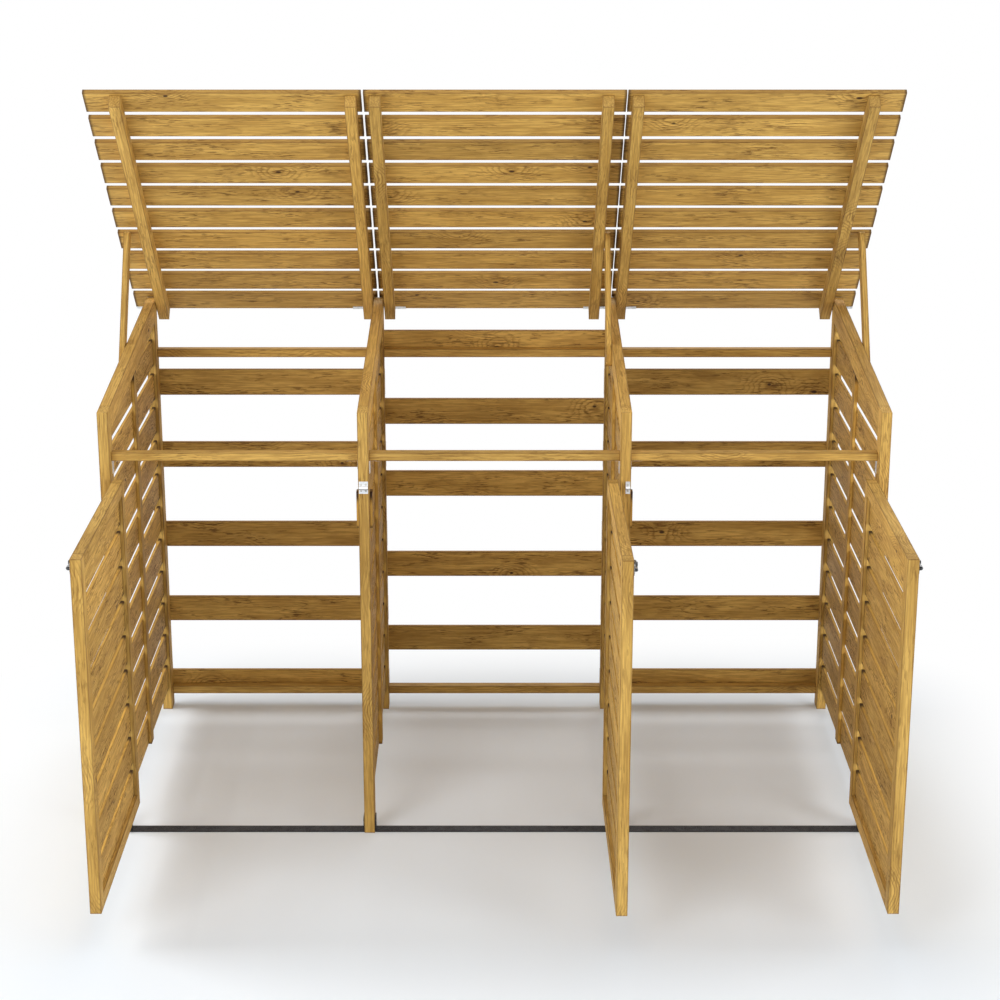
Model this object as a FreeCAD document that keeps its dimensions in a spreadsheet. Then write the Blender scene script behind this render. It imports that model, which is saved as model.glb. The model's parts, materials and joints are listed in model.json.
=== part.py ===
"""Slatted wooden store for three wheelie bins, with propped lids and hinged doors.

Millimetres and degrees. X runs from left to right across the front, Y runs from the front faces of
the walls to the back, and Z is up. The origin is on the ground, at the middle of the front. The store
stands as it is used for filling: the lids rest open on their props and the doors are open.
"""
import FreeCAD, Part
import math
import operator
import os

doc = FreeCAD.newDocument("wheelie_bin_store")
sheet = doc.addObject("Spreadsheet::Sheet", "size")

DIMENSIONS = {
    # Walls: four flat panels that stand from front to back
    "overall_width": 2040,
    "middle_bay": 650,
    "wall_thick": 28,
    "wall_depth": 916,
    "front_height": 1183,
    "roof_slope": 6.2,
    "post_width": 50,
    "top_rail_width": 62,
    "wall_slat_width": 78,
    "wall_slat_thick": 9,
    "wall_slat_pitch": 102.3,
    "wall_slat_start": 67,
    "batten_width": 40,
    "batten_front": 446,
    # Back
    "back_rail_thick": 28,
    "back_rail_height": 24,
    "high_rail_drop": 149.5,
    "low_rail_level": 43,
    "back_slat_width": 78,
    "back_slat_thick": 12,
    "outer_slats_start": 32.5,
    "outer_slats_drop": 217.5,
    "outer_slat_shift_b": 1.6,
    "outer_slat_shift_c": 3,
    "outer_slat_shift_d": 14.9,
    "middle_slats_start": 176.2,
    "middle_slats_drop": 99.3,
    "middle_slat_shift_b": 8.1,
    "middle_slat_shift_c": 31.7,
    "middle_slat_shift_d": 24.3,
    # Front bars and what joins the front posts
    "front_bar_thick": 28,
    "front_bar_height": 22,
    "front_bar_drop": 113.5,
    "front_bar_setback": 22,
    "bracket_reach": 31,
    "bracket_drop": 36,
    "bracket_width": 18,
    "bracket_thick": 2,
    "bracket_inset": 7,
    "bracket_screw_length": 14,
    "tie_width": 34,
    "tie_inset": 5,
    "tie_thick": 3,
    "tie_upturn": 42,
    # Keeps and stops
    "bolt_drop": 24,
    "keep_width": 11.7,
    "keep_height": 33,
    "keep_thick": 1.2,
    "keep_screw_offset": 8.2,
    "keep_margin": 2,
    "keep_spacing": 0.2,
    "stop_thick": 7,
    "stop_height": 100,
    "stop_drop": 43.5,
    "stop_gap": 0.5,
    # Doors
    "door_bottom": 92,
    "door_headroom": 41,
    "door_thick": 28,
    "door_gap": 3,
    "free_stile_width": 40,
    "hinge_stile_width": 32,
    "door_top_rail": 35,
    "door_low_rail": 37,
    "door_slat_thick": 9,
    "door_slat_gap": 18,
    "door_slat_gap_start": 204,
    "door_slat_pitch": 96.2,
    "side_door_angle": 90,
    "middle_door_angle": 90.4,
    # Door hinges
    "door_pin_ahead": 4.5,
    "door_pin_radius": 2,
    "door_knuckle_radius": 3.5,
    "door_leaf_thick": 1.3,
    "door_leaf_depth": 22,
    "door_leaf_height": 72,
    "door_leaf_relief": 0.5,
    "high_hinge_drop": 84.5,
    "low_hinge_level": 190,
    "knuckle_gap": 0.5,
    # Door bolts
    "bolt_plate_length": 60,
    "bolt_plate_height": 28,
    "bolt_plate_thick": 1.5,
    "bolt_plate_inset": 5,
    "bolt_guide_width": 12,
    "bolt_screw_offset": 8.5,
    "bolt_radius": 3,
    "bolt_clearance": 0.5,
    "bolt_axis_ahead": 5,
    "bolt_tip_inset": 3,
    "bolt_length": 62,
    "knob_radius": 6,
    "knob_length": 3,
    "knob_inset": 46,
    # Lids
    "lid_overhang": 39,
    "lid_angle": 45.475,
    "lid_slat_width": 78,
    "lid_slat_thick": 12,
    "lid_rear_margin": 62,
    "lid_front_margin": 27.8,
    "lid_batten_width": 30,
    "lid_batten_depth": 39,
    "lid_batten_inset": 7.7,
    "left_seam_shift": -1.7,
    "left_seam_gap": 5.4,
    "right_seam_shift": 3.5,
    "right_seam_gap": 3,
    "outer_batten_gap": 2,
    "inner_batten_gap": 2,
    # Lid hinges
    "lid_clearance": 0.5,
    "lid_pin_behind": 5.5,
    "lid_pin_below": 4.5,
    "lid_pin_radius": 2.5,
    "lid_knuckle_radius": 4.4,
    "lid_leaf_height": 40,
    "lid_leaf_thick": 2,
    "knuckle_play": 0.5,
    "strap_width": 9,
    "strap_thick": 2,
    "side_strap_inset": 0.5,
    "middle_strap_inset": 3.5,
    "foot_inset": 1,
    "foot_under_batten": 5,
    "foot_length": 75,
    "foot_depth": 12,
    # Props
    "prop_thick": 16,
    "prop_width": 30,
    "prop_lean": 30.9,
    "prop_pivot_inset": 413,
    "prop_tail": 12,
    "side_prop_gap": 2,
    "middle_prop_gap": 0.5,
    "prop_contact_gap": 0.3,
    "pivot_radius": 3,
    "pivot_clearance": 0.1,
    "pivot_head_radius": 6,
    "pivot_head_depth": 4,
    "pivot_bite": 20,
    # Screws
    "screw_head_radius": 3,
    "screw_head_height": 1.8,
    "screw_radius": 1.7,
    "screw_length": 16,
    "back_screw_length": 34,
    "slat_screw_length": 10,
    "screw_hole_clearance": 0.2,
    "screw_hole_depth": 5,
    "pin_clearance": 0.1,
    "headroom": 200,
}

for row, (alias, value) in enumerate(DIMENSIONS.items(), start=1):
    sheet.set(f"A{row}", alias)
    sheet.set(f"B{row}", str(value))
    sheet.setAlias(f"B{row}", alias)
doc.recompute()


class Formula:
    """A formula on the sheet's values and what it comes to, joined with + - * / like a number."""

    def __init__(self, text, value):
        self.text = text
        self.value = value

    def __str__(self):
        return self.text

    def __add__(self, other):
        return joined(self, "+", other)

    def __radd__(self, other):
        return joined(other, "+", self)

    def __sub__(self, other):
        return joined(self, "-", other)

    def __rsub__(self, other):
        return joined(other, "-", self)

    def __mul__(self, other):
        return joined(self, "*", other)

    def __rmul__(self, other):
        return joined(other, "*", self)

    def __truediv__(self, other):
        return joined(self, "/", other)

    def __neg__(self):
        return joined(0, "-", self)


OPERATIONS = {
    "+": operator.add,
    "-": operator.sub,
    "*": operator.mul,
    "/": operator.truediv,
}


def as_formula(item):
    return item if isinstance(item, Formula) else Formula(str(item), item)


def joined(left, sign, right):
    left = as_formula(left)
    right = as_formula(right)
    return Formula(f"({left} {sign} {right})", OPERATIONS[sign](left.value, right.value))


class SheetValues:
    """Gives size.some_alias as a formula."""

    def __getattr__(self, alias):
        return Formula(f"size.{alias}", DIMENSIONS[alias])


def sin(angle):
    return Formula(f"sin({angle})", math.sin(math.radians(angle.value)))


def cos(angle):
    return Formula(f"cos({angle})", math.cos(math.radians(angle.value)))


def tan(angle):
    return Formula(f"tan({angle})", math.tan(math.radians(angle.value)))


size = SheetValues()
ZERO = Formula("0", 0)
X_AXIS = FreeCAD.Vector(1, 0, 0)
Y_AXIS = FreeCAD.Vector(0, 1, 0)
Z_AXIS = FreeCAD.Vector(0, 0, 1)
TOWARDS = {
    "+x": FreeCAD.Rotation(Y_AXIS, 90),
    "-x": FreeCAD.Rotation(Y_AXIS, -90),
    "+y": FreeCAD.Rotation(X_AXIS, -90),
    "-y": FreeCAD.Rotation(X_AXIS, 90),
    "+z": FreeCAD.Rotation(),
    "-z": FreeCAD.Rotation(X_AXIS, 180),
}
OPPOSITE = {"+x": "-x", "-x": "+x", "+y": "-y", "-y": "+y", "+z": "-z", "-z": "+z"}
nodes = []


def bind(item, formulas):
    for name, formula in formulas.items():
        item.setExpression(name, str(formula))


def place(item, corner):
    bind(item, {
        "Placement.Base.x": corner[0],
        "Placement.Base.y": corner[1],
        "Placement.Base.z": corner[2],
    })


def block(corner, extent):
    """Box from its lowest corner and its extent along X, Y and Z."""
    item = doc.addObject("Part::Box", "block")
    bind(item, {"Length": extent[0], "Width": extent[1], "Height": extent[2]})
    place(item, corner)
    return item


def rod(start, towards, radius, length):
    """Cylinder from the centre of one end, along one of the axes."""
    item = doc.addObject("Part::Cylinder", "rod")
    item.Placement = FreeCAD.Placement(FreeCAD.Vector(), TOWARDS[towards])
    bind(item, {"Radius": radius, "Height": length})
    place(item, start)
    return item


def cut(base, *tools):
    item = doc.addObject("Part::Cut", "cut")
    item.Base = base
    item.Tool = tools[0] if len(tools) == 1 else gather("tools", tools)
    return item


def fuse(*pieces):
    item = doc.addObject("Part::MultiFuse", "fuse")
    item.Shapes = list(pieces)
    return item


def overlap(first, second):
    item = doc.addObject("Part::MultiCommon", "overlap")
    item.Shapes = [first, second]
    return item


def gather(label, pieces):
    """One compound of separate solids."""
    item = doc.addObject("Part::Compound", label)
    item.Links = list(pieces)
    return item


def node(label, pieces, origin=None, axis=None, angle=None):
    """A named sub-part. An origin, axis and angle turn it about a hinge into the pose it rests in."""
    item = gather(label, pieces)
    item.Label = label
    if axis is not None:
        item.Placement = FreeCAD.Placement(FreeCAD.Vector(), FreeCAD.Rotation(axis, 1))
        bind(item, {"Placement.Rotation.Angle": angle})
    if origin is not None:
        place(item, origin)
    nodes.append(item)
    return item


def shifted(point, towards, distance):
    """The point moved along one of the axes."""
    step = distance if towards[0] == "+" else -distance
    moved = list(point)
    index = "xyz".index(towards[1])
    moved[index] = moved[index] + step
    return moved


def screw(spot, facing, length=size.screw_length):
    """Pan-head screw whose head rests at the spot and faces outwards."""
    head = rod(spot, facing, size.screw_head_radius, size.screw_head_height)
    shank = rod(spot, OPPOSITE[facing], size.screw_radius, length)
    return fuse(head, shank)


def drill(plate, spot, facing):
    """The plate with a clearance hole where a screw enters it."""
    radius = size.screw_radius + size.screw_hole_clearance
    start = shifted(spot, facing, size.screw_head_height)
    return cut(plate, rod(start, OPPOSITE[facing], radius, size.screw_head_height + size.screw_hole_depth))


def above_roof(drop, corner_x=None, thick=None, height=None):
    """Slanted block whose lower face lies parallel to the walls' sloping tops, the drop below them.

    It runs a post's width past the walls at the front, and at least half of one past them at the rear.
    """
    item = doc.addObject("Part::Box", "slanted")
    item.Placement = FreeCAD.Placement(FreeCAD.Vector(), FreeCAD.Rotation(X_AXIS, 1))
    margin = size.post_width
    bind(item, {
        "Length": size.overall_width if thick is None else thick,
        "Width": size.wall_depth + 2 * margin,
        "Height": size.headroom if height is None else height,
        "Placement.Rotation.Angle": size.roof_slope,
    })
    level = size.front_height - drop / cos(size.roof_slope) - margin * tan(size.roof_slope)
    place(item, (-size.overall_width / 2 if corner_x is None else corner_x, -margin, level))
    return item


# Places that several sub-parts share
LEFT_WALL_X = -size.overall_width / 2
LEFT_DIVIDER_X = -size.middle_bay / 2 - size.wall_thick
RIGHT_DIVIDER_X = size.middle_bay / 2
RIGHT_WALL_X = size.overall_width / 2 - size.wall_thick
BACK_POST_Y = size.wall_depth - size.post_width
REAR_HEIGHT = size.front_height + size.wall_depth * tan(size.roof_slope)
RAIL_DROP = size.top_rail_width / cos(size.roof_slope)
BAR_LEVEL = size.front_height - size.front_bar_drop - size.front_bar_height
DOOR_TOP = BAR_LEVEL - size.door_headroom
BOLT_LEVEL = DOOR_TOP - size.bolt_drop
PROP_PIVOT_Y = size.wall_depth - size.prop_pivot_inset
PROP_PIVOT_Z = size.front_height + PROP_PIVOT_Y * tan(size.roof_slope) - RAIL_DROP / 2

# Each wall: its left face and the side that carries its middle batten
WALLS = {
    "left_wall": (LEFT_WALL_X, "+x"),
    "left_divider": (LEFT_DIVIDER_X, "+x"),
    "right_divider": (RIGHT_DIVIDER_X, "-x"),
    "right_wall": (RIGHT_WALL_X, "-x"),
}
# Each bay: the inner faces of the walls on its left and right
BAYS = {
    "left": (LEFT_WALL_X + size.wall_thick, LEFT_DIVIDER_X),
    "middle": (LEFT_DIVIDER_X + size.wall_thick, RIGHT_DIVIDER_X),
    "right": (RIGHT_DIVIDER_X + size.wall_thick, RIGHT_WALL_X),
}
# Props: the left face of each, the wall that carries it and the side its pivot's head is on
PROPS = {
    "left": (LEFT_WALL_X - size.side_prop_gap - size.prop_thick, "left_wall", "-x"),
    "middle": (RIGHT_DIVIDER_X - size.middle_prop_gap - size.prop_thick, "right_divider", "-x"),
    "right": (RIGHT_WALL_X + size.wall_thick + size.side_prop_gap, "right_wall", "+x"),
}
PIVOT_LENGTH = size.prop_thick + size.side_prop_gap + size.pivot_bite
# How far along a leaf or across a slat its screws stand
OUTER_SCREW_SHARE = 0.65
SLAT_SCREW_SHARES = (0.25, 0.75)


def pivot_spot(name):
    """Where a prop's pivot enters the prop's outer face."""
    face_x, _, outer = PROPS[name]
    x = face_x if outer == "-x" else face_x + size.prop_thick
    return [x, PROP_PIVOT_Y, PROP_PIVOT_Z]


def wall_posts(label, face_x, roof):
    posts = []
    for y in (ZERO, BACK_POST_Y):
        post = block((face_x, y, ZERO), (size.wall_thick, size.post_width, REAR_HEIGHT))
        posts.append(cut(post, roof))
    node(f"{label}_posts", posts)


def wall_rail(label, face_x):
    """Sloping top rail between the posts, bored for a prop's pivot where the wall carries one."""
    slanted = above_roof(size.top_rail_width, face_x, size.wall_thick, size.top_rail_width)
    between = block((face_x, size.post_width, ZERO),
                    (size.wall_thick, BACK_POST_Y - size.post_width, 2 * size.front_height))
    rail = overlap(slanted, between)
    for name, (_, carrier, outer) in PROPS.items():
        if carrier == label:
            bore = rod(pivot_spot(name), OPPOSITE[outer], size.pivot_radius, PIVOT_LENGTH)
            rail = cut(rail, bore)
    node(f"{label}_top_rail", [rail])


def wall_slats(label, face_x, rail_space):
    """Slats up to the top rail, the upper ones cut to its slope."""
    slats = []
    recess = (size.wall_thick - size.wall_slat_thick) / 2
    front_limit = size.front_height + size.post_width * tan(size.roof_slope) - RAIL_DROP
    rear_limit = size.front_height + BACK_POST_Y * tan(size.roof_slope) - RAIL_DROP
    level = size.wall_slat_start
    while level.value < rear_limit.value:
        slat = block((face_x + recess, size.post_width, level),
                     (size.wall_slat_thick, BACK_POST_Y - size.post_width, size.wall_slat_width))
        if (level + size.wall_slat_width).value > front_limit.value:
            slat = cut(slat, rail_space)
        slats.append(slat)
        level = level + size.wall_slat_pitch
    node(f"{label}_slats", slats)


def wall_batten(face_x, inner, rail_space):
    """Upright batten that fills the recess on the wall's inner side."""
    recess = (size.wall_thick - size.wall_slat_thick) / 2
    x = face_x + size.wall_thick - recess if inner == "+x" else face_x
    batten = block((x, size.batten_front, size.wall_slat_start),
                   (recess, size.batten_width, size.front_height))
    return cut(batten, rail_space)


def build_walls():
    roof = above_roof(ZERO)
    rail_space = above_roof(size.top_rail_width)
    for label, (face_x, _) in WALLS.items():
        wall_posts(label, face_x, roof)
        wall_rail(label, face_x)
        wall_slats(label, face_x, rail_space)
    node("wall_battens", [wall_batten(face_x, inner, rail_space) for face_x, inner in WALLS.values()])


def back_slat_levels(row):
    """Undersides of a bay's back slats: even steps up the posts, with the photographed unevenness."""
    start = getattr(size, f"{row}_slats_start")
    last = REAR_HEIGHT - getattr(size, f"{row}_slats_drop") - size.back_slat_width
    shifts = [getattr(size, f"{row}_slat_shift_{letter}") for letter in "bcd"]
    step = (last - start) / (len(shifts) + 1)
    between = [start + number * step + shift for number, shift in enumerate(shifts, start=1)]
    return [start, *between, last]


def build_back():
    """Rails between the back posts and slats screwed on behind them. Gives the slats' screws."""
    rails = []
    high_level = REAR_HEIGHT - size.high_rail_drop - size.back_rail_height
    for left, right in BAYS.values():
        for level in (high_level, size.low_rail_level):
            rails.append(block((left, size.wall_depth - size.back_rail_thick, level),
                               (right - left, size.back_rail_thick, size.back_rail_height)))
    node("back_rails", rails)

    screws = []
    face_y = size.wall_depth + size.back_slat_thick
    for bay, row in (("left", "outer"), ("middle", "middle"), ("right", "outer")):
        left, right = BAYS[bay]
        length = right - left + 2 * size.wall_thick
        post_middles = (left - size.wall_thick / 2, right + size.wall_thick / 2)
        slats = []
        for level in back_slat_levels(row):
            slats.append(block((left - size.wall_thick, size.wall_depth, level),
                               (length, size.back_slat_thick, size.back_slat_width)))
            for x in post_middles:
                for share in SLAT_SCREW_SHARES:
                    spot = [x, face_y, level + share * size.back_slat_width]
                    screws.append(screw(spot, "+y", size.back_screw_length))
        node(f"{bay}_back_slats", slats)
    return screws


def bracket(face_x, inward):
    """Angle bracket in the corner of a post's inner face and a front bar. Gives it and its screws."""
    under = BAR_LEVEL
    front_y = size.front_bar_setback + size.bracket_inset
    sign = 1 if inward == "+x" else -1
    start = face_x if sign > 0 else face_x - size.bracket_reach
    lying = block((start, front_y, under - size.bracket_thick),
                  (size.bracket_reach, size.bracket_width, size.bracket_thick))
    start = face_x if sign > 0 else face_x - size.bracket_thick
    standing = block((start, front_y, under - size.bracket_drop),
                     (size.bracket_thick, size.bracket_width, size.bracket_drop))
    middle_y = front_y + size.bracket_width / 2
    low_spot = [face_x + sign * size.bracket_reach * OUTER_SCREW_SHARE, middle_y, under - size.bracket_thick]
    side_spot = [face_x + sign * size.bracket_thick, middle_y, under - size.bracket_drop * OUTER_SCREW_SHARE]
    plate = drill(drill(fuse(lying, standing), low_spot, "-z"), side_spot, inward)
    length = size.bracket_screw_length
    return plate, [screw(low_spot, "-z", length), screw(side_spot, inward, length)]


def tie_strip(left, right):
    """Ground strip between two front posts, its ends turned up. Gives it and its screws."""
    base = block((left, size.tie_inset, ZERO), (right - left, size.tie_width, size.tie_thick))
    ends = []
    screws = []
    for face_x, inward in ((left, "+x"), (right, "-x")):
        start = face_x if inward == "+x" else face_x - size.tie_thick
        ends.append(block((start, size.tie_inset, ZERO), (size.tie_thick, size.tie_width, size.tie_upturn)))
    strip = fuse(base, *ends)
    for face_x, inward in ((left, "+x"), (right, "-x")):
        spot = [face_x + (size.tie_thick if inward == "+x" else -size.tie_thick),
                size.tie_inset + size.tie_width / 2, size.tie_upturn * OUTER_SCREW_SHARE]
        strip = drill(strip, spot, inward)
        screws.append(screw(spot, inward))
    return strip, screws


def guide(start_x, width, front_y, thick):
    """Loop that stands on a face towards the front and holds the bolt's rod, at the bolt's level."""
    inner = size.bolt_radius + size.bolt_clearance
    outer = inner + thick
    axis_y = front_y - size.bolt_axis_ahead
    hoop = rod((start_x, axis_y, BOLT_LEVEL), "+x", outer, width)
    legs = block((start_x, axis_y, BOLT_LEVEL - outer), (width, size.bolt_axis_ahead, 2 * outer))
    bore = rod((start_x, axis_y, BOLT_LEVEL), "+x", inner, width)
    throat = block((start_x, axis_y, BOLT_LEVEL - inner), (width, size.bolt_axis_ahead, 2 * inner))
    return fuse(hoop, legs), fuse(bore, throat)


def keep_plate(start_x):
    """Staple on a divider's front face that the bolt's rod slides through. Gives it and its screws."""
    plate = block((start_x, -size.keep_thick, BOLT_LEVEL - size.keep_height / 2),
                  (size.keep_width, size.keep_thick, size.keep_height))
    loop, bore = guide(start_x, size.keep_width, ZERO, size.keep_thick)
    middle_x = start_x + size.keep_width / 2
    spots = [[middle_x, -size.keep_thick, BOLT_LEVEL + side * size.keep_screw_offset]
             for side in (1, -1)]
    staple = cut(fuse(plate, loop), bore)
    for spot in spots:
        staple = drill(staple, spot, "-y")
    return staple, [screw(spot, "-y") for spot in spots]


def build_front():
    """Front bars, brackets, tie strips, keeps and stops. Gives their screws."""
    screws = []
    bars = []
    brackets = []
    ties = []
    for left, right in BAYS.values():
        bars.append(block((left, size.front_bar_setback, BAR_LEVEL),
                          (right - left, size.front_bar_thick, size.front_bar_height)))
        for face_x, inward in ((left, "+x"), (right, "-x")):
            plate, bracket_screws = bracket(face_x, inward)
            brackets.append(plate)
            screws += bracket_screws
        strip, strip_screws = tie_strip(left, right)
        ties.append(strip)
        screws += strip_screws
    node("front_bars", bars)
    node("angle_brackets", brackets)
    node("tie_strips", ties)

    keeps = []
    seat_x = LEFT_DIVIDER_X + size.keep_margin
    right_seat_x = RIGHT_DIVIDER_X + size.wall_thick - size.keep_margin - size.keep_width
    for start_x in (seat_x, seat_x + size.keep_width + size.keep_spacing, right_seat_x):
        staple, keep_screws = keep_plate(start_x)
        keeps.append(staple)
        screws += keep_screws
    node("keep_plates", keeps)

    stops = []
    stop_y = size.door_thick + size.stop_gap
    left_faces = (LEFT_DIVIDER_X - size.stop_thick, LEFT_DIVIDER_X + size.wall_thick,
                  RIGHT_DIVIDER_X + size.wall_thick)
    for x in left_faces:
        stops.append(block((x, stop_y, DOOR_TOP - size.stop_drop - size.stop_height),
                           (size.stop_thick, size.post_width - stop_y, size.stop_height)))
    node("door_stops", stops)
    return screws


# Doors: the post face each is hinged to, the way it reaches when shut and the angle it stands open
DOORS = {
    "left": (BAYS["left"][0], "+x", -size.side_door_angle),
    "middle": (BAYS["middle"][1], "-x", size.middle_door_angle),
    "right": (BAYS["right"][1], "-x", size.side_door_angle),
}
HINGE_LEVELS = (size.low_hinge_level, DOOR_TOP - size.high_hinge_drop - size.door_leaf_height)


def span(reach, start, length):
    """Lower X end of a stretch that starts so far from the hinge pin, on the side the door reaches."""
    return start if reach == "+x" else -start - length


def hinge_height_parts(level):
    """Foot of each third of a hinge's knuckle, and the height of a third."""
    third = size.door_leaf_height / 3
    return [level, level + third, level + 2 * third], third


def door_leaf(reach, side, level, own_thirds):
    """Hinge leaf about a pin at X = 0, Y = 0. The side is where its plate lies, towards or off the door."""
    plate_x = size.door_gap / 2 - size.door_leaf_thick if side == "door" else -size.door_gap / 2
    start_y = size.door_pin_ahead - size.door_leaf_relief
    plate = block((span(reach, plate_x, size.door_leaf_thick), start_y, level),
                  (size.door_leaf_thick, size.door_leaf_depth + size.door_leaf_relief, size.door_leaf_height))
    feet, third = hinge_height_parts(level)
    solids = [plate]
    for index in own_thirds:
        foot = feet[index] + size.knuckle_gap / 2
        height = third - size.knuckle_gap
        solids.append(block((span(reach, plate_x, size.door_leaf_thick), ZERO, foot),
                            (size.door_leaf_thick, size.door_pin_ahead, height)))
        solids.append(rod((ZERO, ZERO, foot), "+z", size.door_knuckle_radius, height))
    bore = rod((ZERO, ZERO, level), "+z", size.door_pin_radius + size.pin_clearance, size.door_leaf_height)
    return cut(fuse(*solids), bore)


LEAF_SCREW_SHARES = (0.15, 0.85)


def leaf_screws(reach, side, level):
    """Spots of the screws of a hinge leaf, and the way their heads face."""
    inner_face = size.door_gap / 2 - size.door_leaf_thick
    face_x = inner_face if side == "door" else -inner_face
    x = face_x if reach == "+x" else -face_x
    outward = reach if side == "post" else OPPOSITE[reach]
    y = size.door_pin_ahead + size.door_leaf_depth / 2
    return [[x, y, level + share * size.door_leaf_height] for share in LEAF_SCREW_SHARES], outward


def door_width(name):
    left, right = BAYS[name]
    return right - left - 2 * size.door_gap


def bolt_body(plate_x, front_y):
    """Backing plate with two guide loops over the bolt's rod. Gives it and its screws."""
    plate_y = front_y - size.bolt_plate_thick
    plate = block((plate_x, plate_y, BOLT_LEVEL - size.bolt_plate_height / 2),
                  (size.bolt_plate_length, size.bolt_plate_thick, size.bolt_plate_height))
    screws = []
    half_guide = size.bolt_guide_width / 2
    for x in (plate_x + half_guide, plate_x + size.bolt_plate_length - half_guide):
        for side in (1, -1):
            spot = [x, plate_y, BOLT_LEVEL + side * size.bolt_screw_offset]
            plate = drill(plate, spot, "-y")
            screws.append(screw(spot, "-y"))
    loops = []
    for loop_x in (plate_x, plate_x + size.bolt_plate_length - size.bolt_guide_width):
        loop, bore = guide(loop_x, size.bolt_guide_width, front_y, size.keep_thick)
        loops.append(cut(loop, bore))
    return fuse(plate, *loops), screws


def build_door(name):
    """One door in its shut place about its pin, turned open by the node's own placement."""
    face_x, reach, angle = DOORS[name]
    sign = 1 if reach == "+x" else -1
    pin = (face_x + sign * size.door_gap / 2, -size.door_pin_ahead, ZERO)
    pose = {"origin": pin, "axis": Z_AXIS, "angle": angle}
    near = size.door_gap / 2
    far = near + door_width(name)
    front_y = size.door_pin_ahead
    height = DOOR_TOP - size.door_bottom

    hinge_x = span(reach, near, size.hinge_stile_width)
    hinge_stile = block((hinge_x, front_y, size.door_bottom),
                        (size.hinge_stile_width, size.door_thick, height))
    free_x = span(reach, far - size.free_stile_width, size.free_stile_width)
    free_stile = block((free_x, front_y, size.door_bottom),
                       (size.free_stile_width, size.door_thick, height))
    inner_start = near + size.hinge_stile_width
    inner_length = far - size.free_stile_width - inner_start
    inner_x = span(reach, inner_start, inner_length)
    low_rail = block((inner_x, front_y, size.door_bottom),
                     (inner_length, size.door_thick, size.door_low_rail))
    top_rail = block((inner_x, front_y, DOOR_TOP - size.door_top_rail),
                     (inner_length, size.door_thick, size.door_top_rail))
    node(f"{name}_door_frame", [hinge_stile, free_stile, low_rail, top_rail], **pose)

    # Slats from rail to rail, with a gap after each but the last
    ends = []
    gap_level = size.door_slat_gap_start
    while (gap_level + size.door_slat_gap).value < (DOOR_TOP - size.door_top_rail).value:
        ends.append(gap_level)
        gap_level = gap_level + size.door_slat_pitch
    starts = [size.door_bottom + size.door_low_rail, *(end + size.door_slat_gap for end in ends)]
    slats = []
    recess = (size.door_thick - size.door_slat_thick) / 2
    for start, end in zip(starts, [*ends, DOOR_TOP - size.door_top_rail]):
        slats.append(block((inner_x, front_y + recess, start),
                           (inner_length, size.door_slat_thick, end - start)))
    node(f"{name}_door_slats", slats, **pose)

    leaves = []
    screws = []
    for level in HINGE_LEVELS:
        spots, facing = leaf_screws(reach, "door", level)
        leaf = door_leaf(reach, "door", level, (1,))
        for spot in spots:
            leaf = drill(leaf, spot, facing)
            screws.append(flush_screw(spot, facing))
        leaves.append(leaf)
    node(f"{name}_door_hinge_leaves", leaves, **pose)

    plate_x = span(reach, far - size.bolt_plate_inset - size.bolt_plate_length, size.bolt_plate_length)
    body, body_screws = bolt_body(plate_x, front_y)
    node(f"{name}_door_bolt_body", [body], **pose)
    node(f"{name}_door_screws", screws + body_screws, **pose)

    tip_inset = size.bolt_tip_inset
    axis_y = front_y - size.bolt_axis_ahead
    shaft = rod((span(reach, far - tip_inset - size.bolt_length, size.bolt_length), axis_y, BOLT_LEVEL),
                "+x", size.bolt_radius, size.bolt_length)
    knob_x = far - size.knob_inset if reach == "+x" else size.knob_inset - far
    knob = rod((knob_x, axis_y, BOLT_LEVEL), "-y", size.knob_radius, size.bolt_radius + size.knob_length)
    node(f"{name}_door_bolt_rod", [fuse(shaft, knob)], **pose)
    return pin, reach


def flush_screw(spot, facing):
    """Screw whose head lies flush in the metal it holds."""
    return rod(spot, OPPOSITE[facing], size.screw_radius, size.screw_length)


def build_door_hinges(hinges):
    """Fixed leaves on the posts and the pins. Gives the leaves' screws."""
    leaves = []
    pins = []
    screws = []
    for pin, reach in hinges:
        for level in HINGE_LEVELS:
            leaf = door_leaf(reach, "post", level, (0, 2))
            spots, facing = leaf_screws(reach, "post", level)
            fixed_screws = []
            for spot in spots:
                leaf = drill(leaf, spot, facing)
                fixed_screws.append(flush_screw(spot, facing))
            moved_leaf = gather("fixed_leaf", [leaf])
            place(moved_leaf, pin)
            leaves.append(moved_leaf)
            moved_screws = gather("fixed_leaf_screws", fixed_screws)
            place(moved_screws, pin)
            screws.append(moved_screws)
            pins.append(rod((pin[0], pin[1], level), "+z", size.door_pin_radius, size.door_leaf_height))
    node("door_hinge_leaves", leaves)
    node("door_hinge_pins", pins)
    return screws


# The line that all three lids turn about, and the space that their slats keep above it when shut
LID_PIN_Y = size.wall_depth + size.lid_pin_behind
LID_PIN_Z = size.front_height + LID_PIN_Y * tan(size.roof_slope) - size.lid_pin_below / cos(size.roof_slope)
LID_PIN = (ZERO, LID_PIN_Y, LID_PIN_Z)
LID_UNDERSIDE = size.lid_pin_below + size.lid_clearance
LID_SLATS = 10
LID_LENGTH = size.lid_rear_margin + LID_PIN_Y / cos(size.roof_slope) + size.lid_front_margin
LID_PITCH = (LID_LENGTH - size.lid_slat_width) / (LID_SLATS - 1)
LEFT_SEAM = LEFT_DIVIDER_X + size.wall_thick / 2 + size.left_seam_shift
RIGHT_SEAM = RIGHT_DIVIDER_X + size.wall_thick / 2 + size.right_seam_shift
STRAP_SCREW_SHARES = (0.35, 0.6)
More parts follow.
